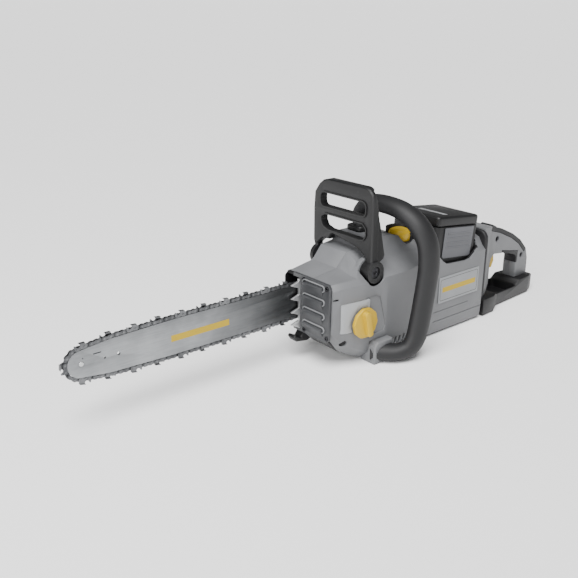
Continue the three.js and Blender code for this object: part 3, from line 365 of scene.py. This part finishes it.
def bevel_work(work, width, segments=2, angle=28):
    """Rounds the sharp edges of a bmesh by width millimetres."""
    limit = math.radians(angle)
    sharp = [
        edge
        for edge in work.edges
        if len(edge.link_faces) == 2 and edge.calc_face_angle(0) > limit
    ]
    bmesh.ops.bevel(
        work,
        geom=sharp,
        offset=width * MM,
        offset_type="OFFSET",
        segments=segments,
        profile=0.5,
        affect="EDGES",
        clamp_overlap=True,
    )


def soften(node, width, segments=2, material=None):
    """Stand-in for a CAD node with its flat faces joined and its edges rounded by width mm."""
    work = bmesh.new()
    work.from_mesh(bpy.data.objects[node].data)
    bmesh.ops.remove_doubles(work, verts=work.verts, dist=0.02 * MM)
    flat = math.radians(1)
    bmesh.ops.dissolve_limit(work, angle_limit=flat, verts=work.verts, edges=work.edges)
    bevel_work(work, width, segments)
    mesh = mesh_of(work, node + "_skin")
    return new_piece(node + "_skin", mesh, SLOT_OF[node], BODY_OF[node], [node], material)


def bridge(work, rings, loop=False):
    """Faces between neighbouring rings of vertices, and from the last to the first in a loop."""
    pairs = list(zip(rings, rings[1:]))
    if loop:
        pairs.append((rings[-1], rings[0]))
    for a, b in pairs:
        for i in range(len(a)):
            j = (i + 1) % len(a)
            work.faces.new((a[i], a[j], b[j], b[i]))


def prism(work, outline, low, high, axis="y", place=None):
    """Adds a closed prism to a bmesh: outline in mm, drawn across the axis, from low to high."""
    order = {"x": (1, 2, 0), "y": (0, 2, 1), "z": (0, 1, 2)}[axis]
    rings = []
    for level in (low, high):
        ring = []
        for a, b in outline:
            values = (a, b, level)
            point = Vector([values[order.index(k)] for k in range(3)])
            ring.append(work.verts.new(place @ point if place else at(*point)))
        rings.append(ring)
    work.faces.new(rings[0])
    work.faces.new(rings[1])
    bridge(work, rings)


def circle(x, y, radius, sides=24, start=0.0):
    turn = 2 * math.pi / sides
    return [
        (x + radius * math.cos(start + i * turn), y + radius * math.sin(start + i * turn))
        for i in range(sides)
    ]


def rounded(x0, x1, y0, y1, radius, steps=5):
    """Rectangle with round corners, as an outline."""
    points = []
    corners = ((x1, y1, 0), (x0, y1, 1), (x0, y0, 2), (x1, y0, 3))
    for x, y, quarter in corners:
        cx = x - radius if x == x1 else x + radius
        cy = y - radius if y == y1 else y + radius
        for i in range(steps + 1):
            angle = (quarter + i / steps) * math.pi / 2
            points.append((cx + radius * math.cos(angle), cy + radius * math.sin(angle)))
    return points


def sweep(path, section):
    """Bmesh of a section ring carried along a path of points, closed at both ends."""
    work = bmesh.new()
    rings = []
    for i, point in enumerate(path):
        before = path[i - 1] if i else point
        after = path[i + 1] if i + 1 < len(path) else point
        ahead = (after - before).normalized()
        rings.append([work.verts.new(point + offset) for offset in section(ahead)])
    bridge(work, rings)
    work.faces.new(rings[0])
    work.faces.new(rings[-1])
    return work


def smooth_curve(points, steps):
    """Smooth curve through the points, as steps + 1 evenly parted places."""
    ends = [points[0] * 2 - points[1], *points, points[-1] * 2 - points[-2]]
    fine = []
    for i in range(1, len(ends) - 2):
        p0, p1, p2, p3 = ends[i - 1 : i + 3]
        for k in range(16):
            t = k / 16
            fine.append(
                0.5
                * (
                    2 * p1
                    + (p2 - p0) * t
                    + (2 * p0 - 5 * p1 + 4 * p2 - p3) * t * t
                    + (3 * p1 - p0 - 3 * p2 + p3) * t**3
                )
            )
    fine.append(points[-1])
    lengths = [0.0]
    for a, b in zip(fine, fine[1:]):
        lengths.append(lengths[-1] + (b - a).length)
    even, k = [], 0
    for i in range(steps + 1):
        want = lengths[-1] * i / steps
        while k + 2 < len(fine) and lengths[k + 1] < want:
            k += 1
        share = (want - lengths[k]) / (lengths[k + 1] - lengths[k])
        even.append(fine[k].lerp(fine[k + 1], min(share, 1.0)))
    return even


# ---- Bar and chain ----
PITCH = 8.255
BAR_REACH = 322
BAR_HALF = 23.5
NOSE_R = 17
DRIVE_X = -75
SPROCKET_R = 18
RIVET_OUT = 2.9  # chain rivets above the bar rail
RIVET_R = 1.35
RIVET_HALF = 2.55  # half the length of a rivet
DRIVE_HALF = 0.62  # half the thickness of a drive link
STRAP_INSIDE = 0.85  # straps and cutters, from their inner face to their outer one
STRAP_OUTSIDE = 2.15


def chain_loop(out):
    """Points round the bar and drive sprocket, out mm above the rail, in (x, z)."""
    upper = []
    nose = NOSE_R + out
    for i in range(13):
        angle = i / 12 * (math.pi / 2 - 0.07)
        upper.append((BAR_REACH + nose * math.cos(angle), nose * math.sin(angle)))
    upper += [(BAR_REACH - 36, 21.3 + out), (BAR_REACH - 78, 22.8 + out)]
    upper += [(BAR_REACH - 120, BAR_HALF + out), (30, BAR_HALF + out)]
    tail = SPROCKET_R + out
    for i in range(9):
        angle = math.pi / 2 * (1 + i / 8)
        upper.append((DRIVE_X + tail * math.cos(angle), tail * math.sin(angle)))
    lower = [(x, -z) for x, z in upper if abs(z) > 1e-6]
    return upper + lower[::-1]


def chain_places(loop, step, shift=0.0):
    """Even places round the loop, each as (x, z, direction), nearest whole count of steps."""
    lengths = [0.0]
    closed = loop + loop[:1]
    for (x0, z0), (x1, z1) in zip(closed, closed[1:]):
        lengths.append(lengths[-1] + math.hypot(x1 - x0, z1 - z0))
    count = round(lengths[-1] / step)

    def spot(share):
        want = share % 1 * lengths[-1]
        k = max(i for i, length in enumerate(lengths[:-1]) if length <= want)
        part = (want - lengths[k]) / (lengths[k + 1] - lengths[k])
        (x0, z0), (x1, z1) = closed[k], closed[k + 1]
        return x0 + (x1 - x0) * part, z0 + (z1 - z0) * part

    places = []
    for i in range(count):
        x0, z0 = spot((i - 0.5) / count + shift)
        x1, z1 = spot((i + 0.5) / count + shift)
        places.append(((x0 + x1) / 2, (z0 + z1) / 2, math.atan2(z1 - z0, x1 - x0)))
    return places


def link_place(x, z, angle):
    """Matrix from a link's own mm (along, out, across) to the frame."""
    along = Vector((-math.cos(angle), 0, -math.sin(angle)))
    out = Vector((math.sin(angle), 0, -math.cos(angle)))
    across = Vector((0, 1, 0))
    turn = Matrix((along * MM, across * MM, out * MM)).transposed().to_4x4()
    return Matrix.Translation(at(x, 0, z)) @ turn


# Profiles in (along, out); along points against the run of the chain, rivets at out = 0.
TIE_STRAP = [
    (-6.6, -1.6), (-5.2, -2.5), (-2.6, -2.5), (0, -1.7), (2.6, -2.5), (5.2, -2.5),
    (6.6, -1.6), (6.6, 1.0), (5.2, 2.2), (2.4, 2.2), (0, 1.5), (-2.4, 2.2), (-5.2, 2.2),
    (-6.6, 1.0),
]
DRIVE_LINK = [
    (-6.4, -1.4), (-4.4, -2.4), (-2.2, -2.6), (0.6, -6.4), (2.4, -2.6), (4.4, -2.4),
    (6.4, -1.4), (6.4, 1.2), (4.4, 2.2), (-4.4, 2.2), (-6.4, 1.2),
]
CUTTER_SIDE = [
    (-7.2, -1.6), (-5.4, -2.5), (-2.6, -2.5), (0, -1.7), (2.6, -2.5), (5.4, -2.5),
    (7.4, -1.6), (8.2, 1.4), (8.0, 4.1), (6.8, 4.6), (5.8, 3.5), (4.9, 1.9), (3.0, 1.3),
    (1.4, 1.8), (0.4, 3.0), (0.9, 5.2), (-5.6, 4.6), (-6.4, 3.2), (-7.2, 1.4),
]
CUTTER_TOP = [(-5.6, 4.5), (0.9, 5.1), (1.5, 5.6), (1.1, 5.9), (-5.7, 5.1)]


def add_chain():
    """Every link of the chain: straps and cutters in turn with drive links, and their rivets."""
    loop = chain_loop(RIVET_OUT)
    places = chain_places(loop, PITCH)
    straps, cutters, drives, rivets = (bmesh.new() for _ in range(4))
    for i, (x, z, angle) in enumerate(places):
        spot = link_place(x, z, angle)
        if i % 2:
            prism(drives, DRIVE_LINK, -DRIVE_HALF, DRIVE_HALF, "y", spot)
            continue
        cutter = i // 2 % 2 == 0
        side = 1 if i // 4 % 2 else -1
        for face in (-1, 1):
            profile = CUTTER_SIDE if cutter and face == side else TIE_STRAP
            low, high = sorted((face * STRAP_INSIDE, face * STRAP_OUTSIDE))
            prism(cutters if profile is CUTTER_SIDE else straps, profile, low, high, "y", spot)
        if cutter:
            low, high = sorted((side * -1.5, side * 2.9))
            prism(cutters, CUTTER_TOP, low, high, "y", spot)
        for end in (-PITCH / 2, PITCH / 2):
            prism(rivets, circle(end, 0, RIVET_R, 10), -RIVET_HALF, RIVET_HALF, "y", spot)
    for work, width in ((straps, 0.25), (cutters, 0.2), (drives, 0.15)):
        bevel_work(work, width, 1, 40)
    for name, work, replaced, material in (
        ("tie_straps", straps, ["saw_chain"], None),
        ("cutters", cutters, (), CUTTER_STEEL),
        ("drive_links", drives, (), None),
        ("chain_rivets", rivets, (), CUTTER_STEEL),
    ):
        new_piece(name, mesh_of(work, name), "chain_steel", "saw", replaced, material)


def add_bar_details():
    """Yellow stripe on the bar's left face, and thin dark shapes of painted shade for its slot
    and small pit.
    """
    stripe = bmesh.new()
    prism(stripe, [(117, -6), (204, -6), (204, 2.6), (117, 2.6)], 2.0, 2.08)
    new_piece("bar_stripe", mesh_of(stripe, "bar_stripe"), "yellow", "saw", material=STRIPE_INK)
    # Painted shade: flat dark shapes where the slot and pit are recessed.
    marks = bmesh.new()
    prism(marks, rounded(297, 307, 7.8, 9.2, 0.6, 2), 1.95, 2.06)
    prism(marks, circle(320, 6.8, 0.8, 12), 1.95, 2.06)
    new_piece("bar_painted_shade_marks", mesh_of(marks, "bar_painted_shade_marks"), "dark_steel", "saw")


# ---- Front handle ----
HANDLE_OUT = 112
FOOT_Y = -5


def add_front_handle():
    """The loop handle as one smooth oval tube."""
    half_deep, half_across = 17.5 * MM, 12.5 * MM
    stations = [
        (-131, FOOT_Y, 80.2), (-131, FOOT_Y, 88), (-132.5, FOOT_Y - 3, 105), (-134, 8, 119.5),
        (-134, 37, 122.5), (-136, 68, 118), (-140, 92, 103.5), (-144, HANDLE_OUT - 5, 80),
        (-144, HANDLE_OUT, 50), (-141, HANDLE_OUT, 20), (-136, HANDLE_OUT, -10),
        (-131, HANDLE_OUT, -36), (-126, HANDLE_OUT, -54), (-117, HANDLE_OUT - 2.5, -68),
        (-103, HANDLE_OUT - 10, -74), (-88, 88, -74.4), (-77, 77, -74.4),
    ]
    flat = half_deep / half_across
    points = [at(*p) for p in stations]
    points = [Vector((p.x / flat, p.y, p.z)) for p in points]
    path = smooth_curve(points, 120)
    fore = Vector((1, 0, 0))

    def ring(ahead):
        side = ahead.cross(fore).normalized()
        front = side.cross(ahead).normalized()
        sides = 32
        return [
            front * half_across * math.cos(2 * math.pi * k / sides)
            + side * half_across * math.sin(2 * math.pi * k / sides)
            for k in range(sides)
        ]

    work = sweep(path, ring)
    for vert in work.verts:
        vert.co.x *= flat
    mesh = mesh_of(work, "handle_tube", 50)
    new_piece("handle_tube", mesh, "soft_black", "saw", ["front_handle"])


# ---- Guard details ----
GUARD_FRONT = DRIVE_X + 6.5
WINDOW_UPPER = rounded(-29, 61, 120, 139.5, 7)
WINDOW_LOWER = [
    (-23, 91), (-12, 87.5), (50, 86.5), (58, 88), (62, 94), (62, 103), (56, 109), (-20, 108.5),
    (-27, 104), (-27, 98),
]


def frame_strip(work, outline, grow, low, high):
    """A raised rim: the outline and a copy grown by grow mm, from low to high along X."""
    count = len(outline)
    middle = Vector((sum(p[0] for p in outline) / count, sum(p[1] for p in outline) / count))
    outer = []
    for i, point in enumerate(outline):
        before, after = Vector(outline[i - 1]), Vector(outline[(i + 1) % count])
        along = (after - before).normalized()
        normal = Vector((along.y, -along.x))
        if normal.dot(Vector(point) - middle) < 0:
            normal = -normal
        outer.append(Vector(point) + normal * grow)
    rings = []
    for ring, level in ((outline, low), (outline, high), (outer, high), (outer, low)):
        rings.append([work.verts.new(at(level, p[0], p[1])) for p in ring])
    bridge(work, rings, loop=True)


def add_guard_details():
    """Raised rims round the guard's two windows, and a dark disc of painted shade for the pit in
    its top band.
    """
    rims = bmesh.new()
    for outline in (WINDOW_UPPER, WINDOW_LOWER):
        frame_strip(rims, outline, 2.0, GUARD_FRONT - 2, GUARD_FRONT + 1.3)
    bevel_work(rims, 0.4, 1, 50)
    new_piece("guard_rims", mesh_of(rims, "guard_rims", 50), "black_plastic", "guard")
    # Painted shade: a flat dark disc for the shaded inside of the pit.
    pit = bmesh.new()
    prism(pit, circle(45, 152, 1.4, 16), GUARD_FRONT - 0.3, GUARD_FRONT + 0.05, "x")
    new_piece("guard_pit_painted_shade", mesh_of(pit, "guard_pit_painted_shade"), "black_plastic", "guard", material=DARK_INK_AND_SHADE)


# ---- Bumper plate ribs ----
RIB_Z = (31.2, 11.2, -9, -28.6)
RIB_LEFT = 57
RIB_RIGHT = 14
RIB_HALF = 3.6


def add_rib_painted_highlights():
    """Pale strips round the bumper plate's four ribs: a painted highlight on their edges."""
    work = bmesh.new()
    for z in RIB_Z:
        outline = rounded(RIB_RIGHT, RIB_LEFT, z - RIB_HALF, z + RIB_HALF, 3.4, 4)
        frame_strip(work, outline, 1.1, -0.3, 1.5)
    bevel_work(work, 0.3, 1, 50)
    mesh = mesh_of(work, "rib_painted_highlights", 50)
    # The strips are a painted highlight, not a finish of the plate.
    new_piece("rib_painted_highlights", mesh, "plate_grey", "saw", material=PAINTED_RIB_HIGHLIGHT)


# ---- Screws ----
def add_screw(node, axis, socket, depth, sides=6):
    """Screw head with a real socket: socket is the radius across its corners, in mm."""
    low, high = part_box(node)
    middle = (low + high) / 2
    out = Vector((1, 0, 0)) if axis == "x" else Vector((0, 1, 0))
    across = Vector((0, 0, 1)) if axis == "x" else Vector((1, 0, 0))
    third = out.cross(across)
    reach = (high - low).dot(out) / 2
    radius = (high.z - low.z) / 2
    steps = 36

    def ring(work, size, level, flats=0):
        verts = []
        for i in range(steps):
            angle = 2 * math.pi * i / steps
            r = size
            if flats:
                part = math.pi / flats
                r = size * math.cos(part) / math.cos(angle % (2 * part) - part)
            spot = middle + across * r * math.cos(angle) + third * r * math.sin(angle)
            verts.append(work.verts.new(spot + out * level))
        return verts

    work = bmesh.new()
    rings = [
        ring(work, radius, -reach),
        ring(work, radius, reach - 0.7 * MM),
        ring(work, radius - 0.25 * MM, reach - 0.2 * MM),
        ring(work, radius - 0.8 * MM, reach),
        ring(work, socket * MM + 0.2 * MM, reach, sides),
        ring(work, socket * MM, reach - 0.3 * MM, sides),
        ring(work, socket * MM, reach - depth * MM, sides),
    ]
    bridge(work, rings)
    work.faces.new(rings[0])
    work.faces.new(rings[-1])
    mesh = mesh_of(work, node + "_head", 40)
    new_piece(node + "_head", mesh, SLOT_OF[node], BODY_OF[node], [node])


# Axis, radius across the socket's corners and its depth in mm.
SCREWS = {
    "plate_screw_1": ("x", 1.7, 2.0),
    "plate_screw_2": ("x", 1.7, 2.0),
    "plate_screw_3": ("x", 1.7, 2.0),
    "plate_screw_4": ("x", 1.7, 2.0),
    "handle_screw_1": ("y", 2.5, 2.6),
    "handle_screw_2": ("y", 2.5, 2.6),
    "side_screw": ("y", 2.5, 2.6),
}


BATTERY_TILT = 6.5  # degrees, top leaning back


def add_battery_strip():
    """Narrow printed label across the top of the battery lid."""
    mesh = bpy.data.objects["battery_lid"].data
    tilt = math.radians(BATTERY_TILT)
    up = Vector((-math.sin(tilt), 0, math.cos(tilt)))
    top = max(vert.co.dot(up) for vert in mesh.vertices)
    along = Vector((math.cos(tilt), 0, math.sin(tilt)))
    work = bmesh.new()
    corners = rounded(-241, -232, 0, 53, 1.5, 3)
    rings = []
    for lift in (-0.1, 0.12):
        ring = []
        for x, y in corners:
            start = at(x, y, 0)
            spot = along * start.dot(along) + up * (top + lift * MM)
            ring.append(work.verts.new((spot.x, start.y, spot.z)))
        rings.append(ring)
    bridge(work, rings)
    work.faces.new(rings[0])
    work.faces.new(rings[1])
    new_piece("battery_strip", mesh_of(work, "battery_strip"), "label_film", "battery")


# ---- Labels and small trim ----
LABEL_BORDER = (-305, -217, -33.5, 0.5)  # outer edge of the printed border: x, x, z, z
BORDER_WIDTH = 0.6
LABEL_STRIPE = [(-300, -20.5), (-222, -20.5), (-222, -12.5), (-300, -12.5)]
INK_SUNK = 0.1  # ink below the label's face, so that no gap shows
INK_LIFT = 0.08


def add_label():
    """Printed border and stripe of the blank side label."""
    face = (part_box("label_plate")[1].y - ORIGIN.y) / MM
    low, high = face - INK_SUNK, face + INK_LIFT
    x0, x1, z0, z1 = LABEL_BORDER
    edge = BORDER_WIDTH
    outer = rounded(x0, x1, z0, z1, 3, 3)
    inner = rounded(x0 + edge, x1 - edge, z0 + edge, z1 - edge, 2.6, 3)
    border = bmesh.new()
    rings = []
    for ring, level in ((outer, low), (outer, high), (inner, high), (inner, low)):
        rings.append([border.verts.new(at(x, level, z)) for x, z in ring])
    bridge(border, rings, loop=True)
    mesh = mesh_of(border, "label_border")
    new_piece("label_border", mesh, "label_film", "saw", material=DARK_INK_AND_SHADE)
    stripe = bmesh.new()
    prism(stripe, LABEL_STRIPE, low, high)
    mesh = mesh_of(stripe, "label_stripe")
    new_piece("label_stripe", mesh, "label_film", "saw", material=STRIPE_INK)


# Width in mm of the rounded edge on each node that takes one.
EDGE_WIDTHS = {
    "left_housing": 1.0,
    "right_housing": 1.0,
    "bumper_plate": 0.6,
    "spike_bar": 0.25,
    "hand_guard": 1.2,
    "sprocket_cover": 0.8,
    "handle_clamp": 1.0,
    "handle_foot": 1.0,
    "rear_handle_left": 1.4,
    "rear_handle_right": 1.4,
    "grip_overmould": 1.0,
    "grip_pad": 0.8,
    "rear_guard": 1.6,
    "battery_case": 1.0,
    "battery_lid": 1.2,
    "battery_panel": 0.4,
    "battery_bay": 0.6,
    "base_cover": 1.0,
    "chain_catcher": 0.8,
    "rear_seal": 1.0,
    "oil_window": 0.6,
    "oil_cap": 0.5,
    "trigger": 0.8,
    "trigger_lockout": 0.8,
    "release_bezel": 1.0,
    "guide_bar": 0.25,
    "label_plate": 0.15,
    "guard_bolt_left": 0.5,
    "guard_bolt_right": 0.5,
    "bar_nut_1": 0.5,
    "bar_nut_2": 0.5,
    "release_button": 0.6,
}
# Hard chrome on the cutters: paler than the links, with a low gloss.
CUTTER_STEEL = drawn_steel("chromed_cutter_steel", "#5c5d5f", "#88898b", 0.44, (3, 3, 3), 1.0)
# Screen-printed yellow: a flat, dry colour.
STRIPE_INK = moulded_plastic("yellow_screen_ink", "#b09200", "#b69800", 0.55, 1.2, 0.02)
# Paler grey on the edges of the ribs: a painted highlight.
PAINTED_RIB_HIGHLIGHT = moulded_plastic("painted_rib_edge_highlight", "#7c7d7f", "#8f9092", 0.35, 0.7, 0.04)
# Black screen print: a flat black. It is also painted shade: the dark inside of the guard's pit.
DARK_INK_AND_SHADE = moulded_plastic("dark_screen_ink_and_painted_shade", "#0b0b0c", "#101011", 0.5, 1.2, 0.02)


# ---- Floor and studio light ----
def add_floor():
    """Paper sweep: flat round the saw, rising gently far off so that it fills the view."""
    sides = 48
    rings = [(6.0, 0.0), (14.0, 0.1), (30.0, 1.0), (60.0, 4.0), (90.0, 8.0)]
    verts = [(0, 0, 0)]
    faces = []
    for radius, height in rings:
        verts += [(x, y, height) for x, y in circle(0, 0, radius, sides)]
    for i in range(sides):
        j = (i + 1) % sides
        faces.append((0, 1 + i, 1 + j))
        for k in range(len(rings) - 1):
            a, b = 1 + k * sides, 1 + (k + 1) * sides
            faces.append((a + i, b + i, b + j, a + j))
    mesh = bpy.data.meshes.new("floor")
    mesh.from_pydata(verts, [], faces)
    for face in mesh.polygons:
        face.use_smooth = True
    floor = bpy.data.objects.new("floor", mesh)
    material, _, shader = new_material("white_paper_sweep")
    shader.inputs["Base Color"].default_value = linear("#fafafa")
    shader.inputs["Roughness"].default_value = 0.85
    mesh.materials.append(material)
    bpy.context.collection.objects.link(floor)


def add_world():
    world = bpy.data.worlds.new("studio")
    bpy.context.scene.world = world
    world.use_nodes = True
    background = world.node_tree.nodes["Background"]
    background.inputs["Color"].default_value = linear("#ffffff")
    background.inputs["Strength"].default_value = 0.2


add_camera()
for node, width in EDGE_WIDTHS.items():
    soften(node, width)
for node, slot_name in SLOT_OF.items():
    cad_mesh = bpy.data.objects[node].data
    cad_mesh.materials.clear()
    cad_mesh.materials.append(MATERIALS[slot_name])
soften("nose_rivet", 0.3, 1, MATERIALS["bright_steel"])
add_chain()
add_bar_details()
add_front_handle()
add_guard_details()
add_label()
add_battery_strip()
add_rib_painted_highlights()
for node, (axis, socket, depth) in SCREWS.items():
    add_screw(node, axis, socket, depth)
add_floor()
add_world()
add_sky_panel((-0.35, -0.3, -1), 5.5, 40)
add_light("front", at(1500, 500, 700), at(0, 0, 0), (1.2, 0.8), 20)
